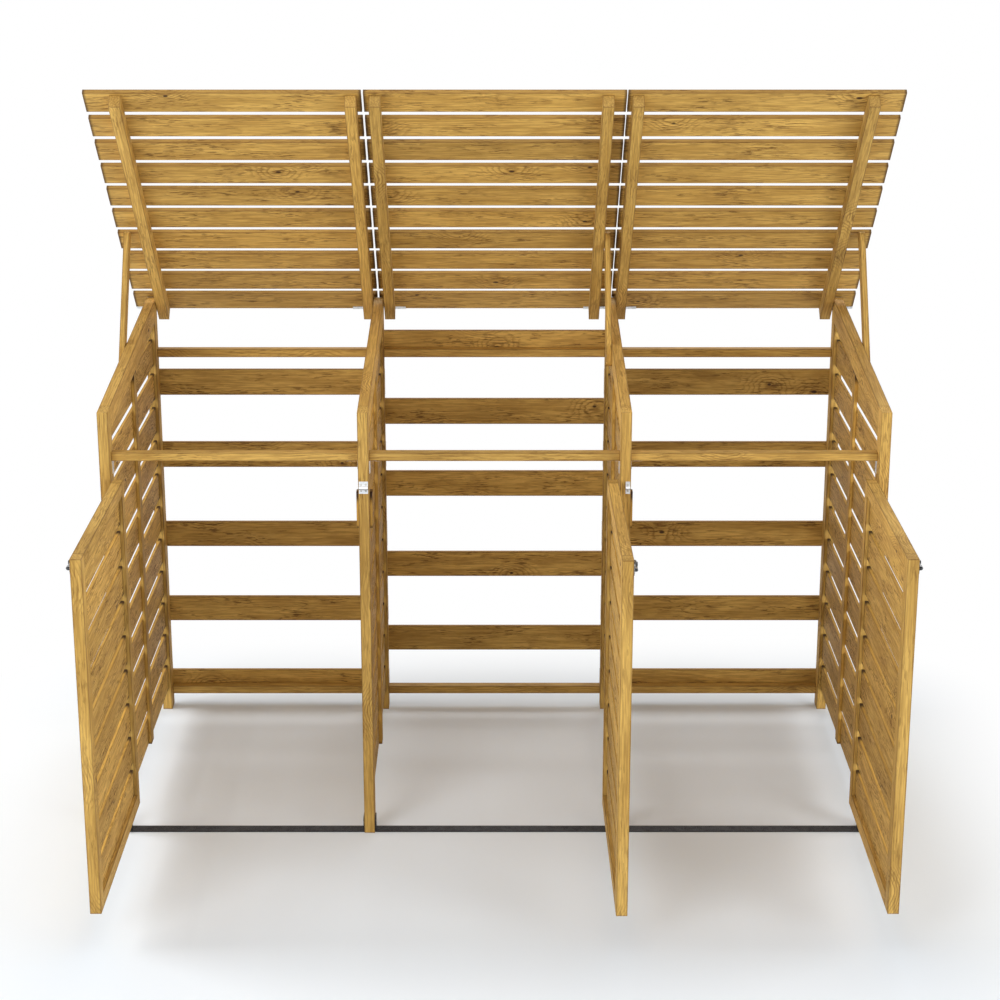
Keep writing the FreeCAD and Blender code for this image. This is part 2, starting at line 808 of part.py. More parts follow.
# Left ends of the moving knuckles, counted from the left face of the wall each stands behind
STRAPS = {
    "left_wall": ((size.wall_thick - size.strap_width) / 2,),
    "left_divider": (size.side_strap_inset, size.wall_thick - size.middle_strap_inset - size.strap_width),
    "right_divider": (size.middle_strap_inset, size.wall_thick - size.side_strap_inset - size.strap_width),
    "right_wall": ((size.wall_thick - size.strap_width) / 2,),
}
LID_LEFT_END = LEFT_WALL_X - size.lid_overhang
LID_RIGHT_END = RIGHT_WALL_X + size.wall_thick + size.lid_overhang
# The outer battens' outer faces, and how far the outer feet run from the lids' ends to under them
LEFT_BATTEN_FACE = BAYS["left"][0] + size.outer_batten_gap
RIGHT_BATTEN_FACE = BAYS["right"][1] - size.outer_batten_gap
LEFT_FOOT_X = LID_LEFT_END + size.foot_inset
RIGHT_FOOT_X = RIGHT_BATTEN_FACE - size.foot_under_batten
LEFT_FOOT_LENGTH = LEFT_BATTEN_FACE + size.foot_under_batten - LEFT_FOOT_X
RIGHT_FOOT_LENGTH = LID_RIGHT_END - size.foot_inset - RIGHT_FOOT_X
# Each lid: its ends, its battens' left faces and, for each strap, its wall, its number there, and the
# left end and length of its foot
LIDS = {
    "left": {
        "ends": (LID_LEFT_END, LEFT_SEAM - size.left_seam_gap / 2),
        "battens": (LEFT_BATTEN_FACE,
                    BAYS["left"][1] - size.inner_batten_gap - size.lid_batten_width),
        "straps": (("left_wall", 0, LEFT_FOOT_X, LEFT_FOOT_LENGTH),
                   ("left_divider", 0, BAYS["left"][1] + size.side_strap_inset + size.strap_width
                    - size.foot_length, size.foot_length)),
    },
    "middle": {
        "ends": (LEFT_SEAM + size.left_seam_gap / 2, RIGHT_SEAM - size.right_seam_gap / 2),
        "battens": (BAYS["middle"][0] + size.inner_batten_gap,
                    BAYS["middle"][1] - 2 * size.middle_prop_gap - size.prop_thick - size.lid_batten_width),
        "straps": (("left_divider", 1, BAYS["middle"][0] - size.middle_strap_inset - size.strap_width,
                    size.foot_length),
                   ("right_divider", 0, BAYS["middle"][1] + size.middle_strap_inset + size.strap_width
                    - size.foot_length, size.foot_length)),
    },
    "right": {
        "ends": (RIGHT_SEAM + size.right_seam_gap / 2, LID_RIGHT_END),
        "battens": (BAYS["right"][0] + size.inner_batten_gap,
                    RIGHT_BATTEN_FACE - size.lid_batten_width),
        "straps": (("right_divider", 1, BAYS["right"][0] - size.side_strap_inset - size.strap_width,
                    size.foot_length),
                   ("right_wall", 0, RIGHT_FOOT_X, RIGHT_FOOT_LENGTH)),
    },
}


def lid_strap(knuckle_x, foot_x, foot_length):
    """Strap from the pin to a foot along the lid's rear edge. Gives it and its screws."""
    level = LID_UNDERSIDE - size.strap_thick
    knuckle = rod((knuckle_x, ZERO, ZERO), "+x", size.lid_knuckle_radius, size.strap_width)
    tongue = block((knuckle_x, ZERO, level), (size.strap_width, size.lid_rear_margin, size.strap_thick))
    bore = rod((knuckle_x, ZERO, ZERO), "+x", size.lid_pin_radius + size.pin_clearance, size.strap_width)
    strap = cut(fuse(knuckle, tongue, strap_foot(foot_x, foot_length)), bore)
    screws = []
    for share in STRAP_SCREW_SHARES:
        spot = [knuckle_x + size.strap_width / 2, share * size.lid_rear_margin, level]
        strap = drill(strap, spot, "-z")
        screws.append(screw(spot, "-z", size.slat_screw_length))
    return strap, screws


def strap_foot(foot_x, foot_length):
    return block((foot_x, size.lid_rear_margin - size.foot_depth, LID_UNDERSIDE - size.strap_thick),
                 (foot_length, size.foot_depth, size.strap_thick))


def lid_batten(batten_x, foot_x, foot_length):
    """Batten under the slats, its rear end let over a strap's foot."""
    length = LID_LENGTH - size.lid_batten_inset
    batten = block((batten_x, size.lid_rear_margin - length, LID_UNDERSIDE - size.lid_batten_depth),
                   (size.lid_batten_width, length, size.lid_batten_depth))
    return cut(batten, strap_foot(foot_x, foot_length))


def build_lid(name):
    """One lid about its hinge line, turned up by the nodes' own placement."""
    data = LIDS[name]
    pose = {"origin": LID_PIN, "axis": X_AXIS, "angle": -size.lid_angle}
    left, right = data["ends"]
    slats = []
    for index in range(LID_SLATS):
        rear_y = size.lid_rear_margin - index * LID_PITCH
        slats.append(block((left, rear_y - size.lid_slat_width, LID_UNDERSIDE),
                           (right - left, size.lid_slat_width, size.lid_slat_thick)))
    node(f"{name}_lid_slats", slats, **pose)

    straps = []
    battens = []
    for batten_x, (wall, number, foot_x, foot_length) in zip(data["battens"], data["straps"]):
        strap, screws = lid_strap(WALLS[wall][0] + STRAPS[wall][number], foot_x, foot_length)
        straps += [strap, *screws]
        battens.append(lid_batten(batten_x, foot_x, foot_length))
    node(f"{name}_lid_hinge_straps", straps, **pose)
    node(f"{name}_lid_battens", battens, **pose)


def build_lid_hinges():
    """Fixed leaves behind the back posts, their knuckles beside the straps' own, and the pins."""
    leaves = []
    pins = []
    screws = []
    for wall, (face_x, _) in WALLS.items():
        starts = STRAPS[wall]
        if len(starts) == 1:
            ends = [(size.knuckle_play, starts[0] - size.knuckle_play),
                    (starts[0] + size.strap_width + size.knuckle_play, size.wall_thick - size.knuckle_play)]
        else:
            ends = [(starts[0] + size.strap_width + size.knuckle_play, starts[1] - size.knuckle_play)]
        top = LID_PIN_Z - size.lid_knuckle_radius - size.knuckle_play
        solids = [block((face_x, size.wall_depth, LID_PIN_Z - size.lid_leaf_height),
                        (size.wall_thick, size.lid_leaf_thick, top - LID_PIN_Z + size.lid_leaf_height))]
        for start, end in ends:
            solids.append(block((face_x + start, size.wall_depth, top),
                                (end - start, size.lid_leaf_thick, LID_PIN_Z - top)))
            solids.append(rod((face_x + start, LID_PIN_Y, LID_PIN_Z), "+x",
                              size.lid_knuckle_radius, end - start))
        bore_radius = size.lid_pin_radius + size.pin_clearance
        bore = rod((face_x, LID_PIN_Y, LID_PIN_Z), "+x", bore_radius, size.wall_thick)
        leaf = cut(fuse(*solids), bore)
        spot = [face_x + size.wall_thick / 2, size.wall_depth + size.lid_leaf_thick,
                LID_PIN_Z - size.lid_leaf_height * OUTER_SCREW_SHARE]
        leaves.append(drill(leaf, spot, "+y"))
        screws.append(screw(spot, "+y"))
        pins.append(rod((face_x, LID_PIN_Y, LID_PIN_Z), "+x", size.lid_pin_radius, size.wall_thick))
    node("lid_hinge_leaves", leaves)
    node("lid_hinge_pins", pins)
    return screws


# From a prop's pivot to the centre of its rounded tip, which touches the open lid's slats
PIVOT_BELOW_LID = ((LID_PIN_Y - PROP_PIVOT_Y) * sin(size.lid_angle)
                   + (LID_PIN_Z - PROP_PIVOT_Z) * cos(size.lid_angle) + LID_UNDERSIDE)
PROP_REACH = ((PIVOT_BELOW_LID - size.prop_width / 2 - size.prop_contact_gap)
              / cos(size.lid_angle - size.prop_lean))


def build_prop(name):
    """Stay with round ends that leans back on its pivot, drawn upright about the pivot and then turned."""
    face_x, _, outer = PROPS[name]
    half = size.prop_width / 2
    shaft = block((face_x, -half, -size.prop_tail),
                  (size.prop_thick, size.prop_width, size.prop_tail + PROP_REACH))
    tail = rod((face_x, ZERO, -size.prop_tail), "+x", half, size.prop_thick)
    tip = rod((face_x, ZERO, PROP_REACH), "+x", half, size.prop_thick)
    spot = [pivot_spot(name)[0], ZERO, ZERO]
    inward = OPPOSITE[outer]
    bore = rod(spot, inward, size.pivot_radius + size.pivot_clearance, size.prop_thick)
    recess = rod(spot, inward, size.pivot_head_radius + size.pivot_clearance, size.pivot_head_depth)
    pose = {"origin": (ZERO, PROP_PIVOT_Y, PROP_PIVOT_Z), "axis": X_AXIS, "angle": -size.prop_lean}
    node(f"{name}_prop", [cut(fuse(shaft, tail, tip), fuse(bore, recess))], **pose)

    head = rod(pivot_spot(name), inward, size.pivot_head_radius, size.pivot_head_depth)
    shank = rod(pivot_spot(name), inward, size.pivot_radius, PIVOT_LENGTH)
    return fuse(head, shank)


build_walls()
screws = build_back() + build_front()
door_hinges = [build_door(name) for name in DOORS]
screws += build_door_hinges(door_hinges)
for name in LIDS:
    build_lid(name)
screws += build_lid_hinges()
node("prop_pivots", [build_prop(name) for name in PROPS])
node("frame_screws", screws)

doc.recompute()
for item in doc.Objects:
    if "Invalid" in item.State or "Error" in item.State:
        raise RuntimeError(f"{item.Label} failed: {item.State}")
os.makedirs("parts", exist_ok=True)
for item in nodes:
    if item.Shape.isNull() or not item.Shape.isValid():
        raise RuntimeError(f"{item.Label} has no valid shape")
for item in nodes:
    item.Shape.exportStep(f"parts/{item.Label}.step")
    print(item.Label, len(item.Shape.Solids), "solids", round(item.Shape.Volume / 1000), "cm3")
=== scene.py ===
import json
import math
import random

import bmesh
import bpy
import numpy as np
from mathutils import Matrix, Vector


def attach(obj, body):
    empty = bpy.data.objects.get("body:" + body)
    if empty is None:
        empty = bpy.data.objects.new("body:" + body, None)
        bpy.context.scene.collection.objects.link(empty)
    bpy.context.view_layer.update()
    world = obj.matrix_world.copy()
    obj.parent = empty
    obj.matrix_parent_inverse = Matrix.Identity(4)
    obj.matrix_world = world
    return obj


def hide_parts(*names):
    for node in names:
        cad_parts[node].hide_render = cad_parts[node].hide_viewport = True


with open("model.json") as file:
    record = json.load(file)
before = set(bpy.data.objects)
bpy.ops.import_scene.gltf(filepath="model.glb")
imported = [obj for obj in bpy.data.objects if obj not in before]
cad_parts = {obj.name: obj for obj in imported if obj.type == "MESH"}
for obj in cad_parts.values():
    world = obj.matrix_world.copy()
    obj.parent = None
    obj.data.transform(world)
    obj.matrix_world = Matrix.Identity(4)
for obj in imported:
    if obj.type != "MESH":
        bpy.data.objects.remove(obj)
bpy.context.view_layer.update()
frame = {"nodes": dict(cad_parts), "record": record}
bodies = frame["record"]["behaviour"]["bodies"]
body_of_node = {node: body for body, nodes in bodies.items() for node in nodes}

# %% [markdown]
# ## The camera
# The camera stands well back and a little above the store, and looks slightly down. A long lens from far
# away keeps the upright posts nearly parallel. The lens, height and tilt could be guessed and nudged, but
# here they were worked out from known corners of the store, so every board falls where it should. The
# picture's middle lies a few thousandths of its width to one side, which a small shift takes up.
# %% Set up the camera
# In pixels: the picture's width, the focal length and the shift
PICTURE = 1000
FOCAL_LENGTH = 2275.97
SIDE_SHIFT = 5.5
# In degrees: how far a new camera is turned up to look level, and the tilt down from there
LEVEL = 90
LOOKING_DOWN = 17.535
CAMERA_PLACE = (0, -5.6265, 2.7267)
SENSOR_WIDTH = 36


def add_object(name, data):
    """A new object of the scene."""
    made = bpy.data.objects.new(name, data)
    bpy.context.scene.collection.objects.link(made)
    return made


lens = bpy.data.cameras.new("camera")
lens.sensor_width = SENSOR_WIDTH
lens.lens = SENSOR_WIDTH * FOCAL_LENGTH / PICTURE
lens.shift_x = SIDE_SHIFT / PICTURE
camera = add_object("camera", lens)
camera.location = CAMERA_PLACE
camera.rotation_euler = (math.radians(LEVEL - LOOKING_DOWN), 0, 0)
bpy.context.scene.camera = camera
print("lens of", round(lens.lens, 2), "mm")

# %% [markdown]
# ## Writing a finish as a sum
# A material in Blender is a web of small nodes. Wired one by one, even a simple sum of two patterns takes
# many lines and hides what is meant. So an output of a node is wrapped here in a small class that knows
# plus, minus, times and divided by, and each of these adds the Math node that does it.
# %% Numbers that vary over a surface
class Signal:
    """An output of a node, used in sums like a number."""

    def __init__(self, finish, socket):
        self.finish = finish
        self.socket = socket

    def also(self, output):
        """Another output of the same node."""
        return Signal(self.finish, self.socket.node.outputs[output])

    def __add__(self, other):
        return self.finish.math("ADD", self, other)

    __radd__ = __add__

    def __sub__(self, other):
        return self.finish.math("SUBTRACT", self, other)

    def __rsub__(self, other):
        return self.finish.math("SUBTRACT", other, self)

    def __mul__(self, other):
        return self.finish.math("MULTIPLY", self, other)

    __rmul__ = __mul__

    def __truediv__(self, other):
        return self.finish.math("DIVIDE", self, other)

    def __rtruediv__(self, other):
        return self.finish.math("DIVIDE", other, self)


print("signals can be added, subtracted, multiplied and divided")

# %% [markdown]
# A finish holds the nodes of a material, or of the sky. Its method `node` makes any node there is: it takes
# the node's type, its settings and what goes into its sockets. The other methods are short names for nodes
# that come back again and again, such as a soft step from nothing to full, or a mix of two colours.
# %% Finishes
class Finish:
    """The nodes of a material or a sky, written as expressions."""

    def __init__(self, owner):
        owner.use_nodes = True
        self.owner = owner
        self.tree = owner.node_tree
        self.tree.nodes.clear()

    def node(self, kind, settings, sockets, output=0):
        made = self.tree.nodes.new("ShaderNode" + kind)
        for name, value in settings.items():
            setattr(made, name, value)
        for name, value in sockets.items():
            if isinstance(value, Signal):
                self.tree.links.new(value.socket, made.inputs[name])
            else:
                made.inputs[name].default_value = value
        return Signal(self, made.outputs[output]) if made.outputs else None

    def math(self, operation, *values):
        return self.node("Math", {"operation": operation}, dict(enumerate(values)))

    def vector_math(self, operation, *values):
        return self.node("VectorMath", {"operation": operation}, dict(enumerate(values)))

    def stretch(self, where, *factors):
        return self.vector_math("MULTIPLY", where, factors)

    def parts(self, where):
        """The three numbers of a place."""
        first = self.node("SeparateXYZ", {}, {0: where})
        return first, first.also("Y"), first.also("Z")

    def noise(self, where, detail=2.0):
        return self.node("TexNoise", {}, {"Vector": where, "Scale": 1.0, "Detail": detail})

    def step(self, value, low, high):
        """Nothing below low, full above high, and smooth between them."""
        sockets = {"Value": value, "From Min": low, "From Max": high}
        return self.node("MapRange", {"interpolation_type": "SMOOTHSTEP"}, sockets)

    def near(self, distance, full, gone):
        """Full up to one distance, gone from another, and smooth between them."""
        return 1 - self.step(distance, full, gone)

    def mix(self, amount, first, second):
        return self.node("Mix", {"data_type": "RGBA"}, {0: amount, 6: first, 7: second}, output=2)

    def bump(self, height, strength, depth):
        sockets = {"Height": height, "Strength": strength, "Distance": depth}
        return self.node("Bump", {}, sockets, output="Normal")

    def surface(self, sockets):
        """The last step: a shader that takes the colour, roughness and bumps, on the material's surface."""
        shader = self.node("BsdfPrincipled", {}, sockets)
        self.node("OutputMaterial", {}, {"Surface": shader})
        print(self.owner.name, "has", len(self.tree.nodes), "nodes")
        return self.owner


def new_finish(name):
    return Finish(bpy.data.materials.new(name))


def colour(red, green, blue):
    return (red, green, blue, 1.0)


WHITE = colour(1, 1, 1)
print("white is written", WHITE)

# %% [markdown]
# ## Oiled softwood
# A board is cut from a trunk, so its pattern is a slice through rings. That could be painted as stripes,
# but stripes don't carry on round a corner and show nothing right on a sawn end. Here each point knows
# where it lies in its board: so far along, across and through it. Distance from the trunk's heart then
# gives rings, which become lines on a face, arches where the heart wanders, and arcs on the ends.
# %% Where a point lies in its board
timber = new_finish("oiled_softwood")


def mark(name, output="Vector"):
    """What a board's mesh says at a point."""
    return timber.node("Attribute", {"attribute_name": name}, {}, output)


def streaks(lengthwise, crosswise, detail=2.0):
    """Noise with so many patches to the metre along the trunk, and so many across it."""
    return timber.noise(timber.stretch(in_trunk, lengthwise, crosswise, crosswise), detail)


in_trunk, in_board, half_size = mark("grain"), mark("place"), mark("half")
board_tone = mark("tone", output="Fac")
_, across, through = timber.parts(in_trunk)
print("the timber reads 4 marks of its boards")

# %% [markdown]
# Branches leave knots: small, dark, and longer along the board than across it. A Voronoi pattern scatters
# points, and the distance to the nearest one draws the knot and the swirl of grain round it. Only some of
# the points become knots, and each has its own size.
# %% Knots
KNOT_SPACING = 0.16
DRAWN_OUT = 0.6
CLEAR_SHARE = 0.4
SMALLEST_KNOT, KNOTS_VARY_BY = 0.0022, 0.0042
# Shares of a knot's radius
KNOT_CORE, KNOT_RIM = 0.5, 1.1
SWIRL_REACH = 0.06

flat_place = timber.stretch(in_trunk, DRAWN_OUT, 1.0, 0.0)
scatter = timber.node("TexVoronoi", {"voronoi_dimensions": "2D"},
                      {"Vector": flat_place, "Scale": 1 / KNOT_SPACING})
lot = timber.node("SeparateColor", {}, {0: scatter.also("Color")})
knot_radius = SMALLEST_KNOT + KNOTS_VARY_BY * lot
is_knot = timber.math("GREATER_THAN", lot.also("Green"), CLEAR_SHARE)
knot_distance = scatter * KNOT_SPACING
knot = is_knot * timber.near(knot_distance, knot_radius * KNOT_CORE, knot_radius * KNOT_RIM)
swirl = is_knot * timber.near(knot_distance, 0.0, SWIRL_REACH)
print("room for a knot every", KNOT_SPACING, "m across and", round(KNOT_SPACING / DRAWN_OUT, 2), "m along")

# %% [markdown]
# Each year adds a pale ring and closes it with a thin dark one. The rings are not perfect circles: slow
# noise bends them along the board, finer noise makes them tremble, and knots push them aside into arches.
# %% Growth rings
RING_WIDTH = 0.0072
BENT_BY, TREMBLE_BY, PUSHED_BY = 0.07, 0.009, 0.034
NOISE_MIDDLE = 0.5
# Shares of a ring's width over which it darkens, and over which the next one begins
DARKENS, BEGINS_AGAIN = (0.4, 0.88), (0.9, 1.0)

slow_bend = streaks(lengthwise=1.7, crosswise=6.0) - NOISE_MIDDLE
tremble = streaks(lengthwise=16.0, crosswise=90.0) - NOISE_MIDDLE
from_heart = timber.math("SQRT", across * across + through * through)
wandering = from_heart + BENT_BY * slow_bend + TREMBLE_BY * tremble + PUSHED_BY * swirl
in_ring = timber.math("FRACT", wandering / RING_WIDTH)
dark_ring = timber.step(in_ring, *DARKENS) * timber.near(in_ring, *BEGINS_AGAIN)
print("rings of", RING_WIDTH, "m")

# %% [markdown]
# Between the rings run the fibres, and short dark flecks where pores were cut open lengthwise. Both are
# noise that is squeezed across the board and drawn out along it. The flecks gather in some areas and leave
# others nearly clean, most of all near the knots, and broad stains of a deeper brown come and go.
# %% Fibres, flecks and stains
# Levels of noise between which each pattern comes in
FLECKED_AREAS, FLECKS, STAINS = (0.44, 0.62), (0.53, 0.6), (0.36, 0.7)
MORE_BY_KNOTS = 0.2
FLECKS_ELSEWHERE = 0.16

fibre = streaks(lengthwise=12.0, crosswise=230.0, detail=4.0)
fleck_pattern = streaks(lengthwise=34.0, crosswise=290.0, detail=3.0)
areas = streaks(lengthwise=7.0, crosswise=30.0, detail=3.0)
flecked = timber.step(areas + MORE_BY_KNOTS * swirl, *FLECKED_AREAS)
fleck = timber.step(fleck_pattern, *FLECKS) * (FLECKS_ELSEWHERE + (1 - FLECKS_ELSEWHERE) * flecked)
stain = timber.step(streaks(lengthwise=3.4, crosswise=30.0, detail=4.0), *STAINS)
print("fibres, flecks and stains are ready")

# %% [markdown]
# Edges and ends look different from the open face, so a point also needs to know how near it is to them.
# Its distances to a board's ends, sides and flat faces come from its place and the board's half sizes. The
# distance to an edge is the middle one of these three: on a face one of them is nothing, and the next
# smallest says how near the edge is.
# %% How near an edge is
inside = timber.vector_math("ABSOLUTE", in_board)
to_end, to_side, to_flat = timber.parts(timber.vector_math("SUBTRACT", half_size, inside))
smaller = timber.math("MINIMUM", to_end, to_side)
larger = timber.math("MAXIMUM", to_end, to_side)
to_edge = timber.math("MAXIMUM", smaller, timber.math("MINIMUM", larger, to_flat))
print("every point knows its distance to an end, a side and an edge")

# %% [markdown]
# Not all boards are alike, and the thickness tells them apart. The slats of the lids and the back are
# thicker than those of the walls and doors, and the frames are thicker still. The walls' battens and the
# small stop blocks are thin as well, and count as thin slats.
# %% Kinds of boards
# Half the thickness below which a board is a slat, and below which it is a thin one
SLAT, THIN_SLAT = 0.007, 0.005

half_thick = timber.parts(half_size)[2]
is_slat = timber.math("LESS_THAN", half_thick, SLAT)
is_thick_slat = is_slat * timber.math("GREATER_THAN", half_thick, THIN_SLAT)
is_thin_slat = is_slat - is_thick_slat
print("slats are up to", 2 * SLAT, "m thick, thin ones up to", 2 * THIN_SLAT, "m")

# %% [markdown]
# A board's edges are darker, and oil is drunk deepest by sawn ends. Painted shade darkens every slat near
# both its ends, where it meets the frame, and the narrow sides of the thicker slats. The thin slats get a
# paler painted highlight on their narrow sides, and near-black painted shade sits in their corners at one
# end, by the rear posts and the hinges. Knots are left off the narrow sides.
# %% Edges, ends and narrow sides
# For each: how far in from the edge, end or side it is full, and how far in it is gone
EDGE, SAWN_END, SLAT_END = (0.0007, 0.0034), (0.0002, 0.001), (0.002, 0.01)
NARROW_SIDE, CORNER, BY_POST = (0.0002, 0.0012), (0.002, 0.0095), (0.012, 0.038)
# How far in from a narrow side knots begin, and how far in they are full
KNOTS_FROM = (0.0005, 0.004)

on_narrow_side = timber.near(to_side, *NARROW_SIDE)
# Painted shade on the narrow sides of the thicker slats
shaded_thick_side = is_thick_slat * on_narrow_side
# A painted highlight on the narrow sides of the thin slats
highlit_thin_side = is_thin_slat * on_narrow_side
dark_edge = timber.near(to_edge, *EDGE)
sawn_end = timber.near(to_end, *SAWN_END)
# Painted shade near both ends of every slat, where it meets the frame
shaded_slat_end = is_slat * timber.near(to_end, *SLAT_END)
hinge_half = timber.math("GREATER_THAN", timber.parts(in_board)[0], 0.0)
by_post = hinge_half * timber.near(to_end, *BY_POST)
# Near-black painted shade in the thin slats' corners at the end by the rear posts and the hinges
shaded_corner = is_thin_slat * by_post * timber.near(to_side, *CORNER)
face_knot = knot * timber.step(to_side, *KNOTS_FROM)
print("edges reach", EDGE[1], "m in, the dark ends of slats", SLAT_END[1], "m")

# %% [markdown]
# Now the colours are laid over each other: deeper stains on honey wood, dark rings, fibres, flecks and
# knots, and last the edges, sides and ends, with their painted shade and highlight. Every board comes out a
# little lighter or darker than the next.
# %% The timber's colour
HONEY = colour(0.68, 0.423, 0.106)
AMBER = colour(0.47, 0.27, 0.056)
LATE_WOOD = colour(0.27, 0.135, 0.027)
FLECK_BROWN = colour(0.11, 0.048, 0.012)
KNOT_BROWN = colour(0.035, 0.014, 0.006)
# The colour of the painted highlight on the thin slats' narrow sides
HIGHLIGHT_OCHRE = colour(0.8, 0.46, 0.08)
FIBRES = (0.4, 0.62)
DARKEST_BOARD, BOARDS_VARY_BY = 0.88, 0.24

# Each layer: where it lies, how strong it is there, and its colour
layers = [
    (stain, 0.8, AMBER),
    (dark_ring, 0.3 + 0.55 * swirl, LATE_WOOD),
    (timber.step(fibre, *FIBRES), 0.42, LATE_WOOD),
    (fleck, 0.4 + 0.36 * is_slat, FLECK_BROWN),
    (face_knot, 0.94, KNOT_BROWN),
    (dark_edge, 0.52, FLECK_BROWN),
    # Painted shade and highlight: dark narrow sides of thick slats, pale ones of thin slats, dark corners
    # and slat ends
    (shaded_thick_side, 0.55, LATE_WOOD),
    (highlit_thin_side, 0.28, HIGHLIGHT_OCHRE),
    (shaded_corner, 0.97, KNOT_BROWN),
    (shaded_slat_end, 0.72, KNOT_BROWN),
    (sawn_end, 0.2, LATE_WOOD),
]
wood = HONEY
for mask, strength, tint in layers:
    wood = timber.mix(mask * strength, wood, tint)
brightness = DARKEST_BOARD + BOARDS_VARY_BY * board_tone
toned = timber.node("VectorMath", {"operation": "SCALE"}, {0: wood, "Scale": brightness})
print(len(layers), "layers of colour on the timber")

# %% [markdown]
# Oil leaves a low sheen that is duller in open grain. The rings, fibres and flecks also stand up or sink
# by fractions of a millimetre, which a bump shows in slanting light.
# %% The timber's sheen and relief
OILED, DULLED_BY_FIBRES, DULLED_BY_FLECKS = 0.56, 0.16, 0.1
RINGS_RISE, FIBRES_RISE, FLECKS_SINK, KNOTS_SINK = 0.5, 0.6, 0.8, 0.5

relief = RINGS_RISE * dark_ring + FIBRES_RISE * fibre - FLECKS_SINK * fleck - KNOTS_SINK * face_knot
TIMBER = timber.surface({
    "Base Color": toned,
    "Roughness": OILED + DULLED_BY_FIBRES * fibre + DULLED_BY_FLECKS * fleck,
    "Normal": timber.bump(relief, strength=0.5, depth=0.0006),
    "Specular IOR Level": 0.25,
})

# %% [markdown]
# ## Boards with eased edges
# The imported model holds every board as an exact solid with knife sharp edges. Real boards have their edges
# eased by the plane, which catches a thin line of light. Sharp boxes with a modifier would do for that,
# but touching boards share corners and would be joined up. So each node's solids are first told apart: a
# solid is complete when every edge has been met from both sides.
# %% Tell the solids of a node apart
MICROMETRES = 6


def packed_solids(node):
    """The node's solids, each as a list of faces, each a list of corner points."""
    mesh = frame["nodes"][node].data
    points = [tuple(round(value, MICROMETRES) for value in vertex.co) for vertex in mesh.vertices]
    solids, faces, open_edges = [], [], set()
    for polygon in mesh.polygons:
        corners = [points[index] for index in polygon.vertices]
        faces.append(corners)
        for edge in zip(corners, corners[1:] + corners[:1]):
            if edge[::-1] in open_edges:
                open_edges.remove(edge[::-1])
            else:
                open_edges.add(edge)
        if not open_edges:
            solids.append(faces)
            faces = []
    return solids


print("a door's frame has", len(packed_solids("left_door_frame")), "boards")

# %% [markdown]
# The triangles of a board are joined into whole faces again, and its long edges get a small round. Short
# edges belong to holes and round ends, which stay as they are.
# %% Ease a board's edges
EASED = 0.0008
SHORTEST_EASED = 0.006
SHARP = math.radians(30)
# In radians: how far two triangles may lean apart and still be one face
SAME_FACE = 0.005


def eased_board(faces):
    board = bmesh.new()
    made = {}
    for corners in faces:
        for point in corners:
            if point not in made:
                made[point] = board.verts.new(point)
    for corners in faces:
        board.faces.new([made[point] for point in corners])
    bmesh.ops.dissolve_limit(board, angle_limit=SAME_FACE, verts=board.verts, edges=board.edges)
    edges = [edge for edge in board.edges
             if edge.calc_length() > SHORTEST_EASED and edge.calc_face_angle(0) > SHARP]
    bmesh.ops.bevel(board, geom=edges, offset=EASED, offset_type="OFFSET", segments=2, profile=0.5,
                    affect="EDGES", clamp_overlap=True)
    board.verts.index_update()
    return board


print("edges longer than", SHORTEST_EASED, "m are eased by", EASED, "m")

# %% [markdown]
# The grain always runs along a board's longest side. Most boards stand square in the store, but the lids,
# the props, the walls' top rails and the middle door are turned, so their boards are turned back before
# they are measured.
# %% Which way a node's boards are turned
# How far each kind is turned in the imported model, in degrees
TURNS = {
    "lid": Matrix.Rotation(math.radians(-45.475), 3, "X"),
    "top_rail": Matrix.Rotation(math.radians(6.2), 3, "X"),
    "prop": Matrix.Rotation(math.radians(-30.9), 3, "X"),
    "middle_door": Matrix.Rotation(math.radians(90.4), 3, "Z"),
}


def turn_of(node):
    for part, turn in TURNS.items():
        if part in node:
            return turn
    return Matrix.Identity(3)


print(len(TURNS), "kinds of boards are turned")

# %% [markdown]
# Then each board gets its own piece of trunk: where along the trunk it was sawn, how far the heart lies
# beside and below it, and which way round it is. The longest side comes first in all its measures, then
# the width, then the thickness.
# %% Place a board in its trunk
TRUNK_LENGTH = 30
HEART_BESIDE = 0.03
HEART_BELOW = (0.025, 0.09)


def board_marks(points, turn, dice):
    """For each point: its place in the trunk and in the board, with the board's half sizes and tone."""
    square = np.array([turn.transposed() @ point for point in points])
    low, high = square.min(axis=0), square.max(axis=0)
    longest_first = np.argsort(low - high)
    place = (square - (low + high) / 2)[:, longest_first]
    half = ((high - low) / 2)[longest_first]
    sawn_from = (dice.uniform(0, TRUNK_LENGTH), dice.uniform(-HEART_BESIDE, HEART_BESIDE),
                 dice.uniform(*HEART_BELOW))
    facing = np.array((dice.choice((-1, 1)), 1, dice.choice((-1, 1))))
    grain = place * facing + np.array(sawn_from)
    count = len(points)
    return {"grain": grain, "place": place, "half": np.tile(half, (count, 1)),
            "tone": [dice.random()] * count}


print("boards are sawn from", TRUNK_LENGTH, "m of trunk, up to", HEART_BELOW[1], "m from its heart")

# %% [markdown]
# A new piece hides the imported node it stands for and moves with that node's body. Its faces are shaded
# smooth, with a crease wherever they meet at a larger angle than the one given, and the flat faces are kept
# flat beside the rounded edges.
# %% Add a piece
def smooth_mesh(name, points, faces, crease, material):
    """A mesh that is shaded smooth up to an angle in degrees."""
    mesh = bpy.data.meshes.new(name)
    mesh.from_pydata(points, [], faces)
    mesh.shade_smooth()
    mesh.set_sharp_from_angle(angle=math.radians(crease))
    mesh.materials.append(material)
    return mesh


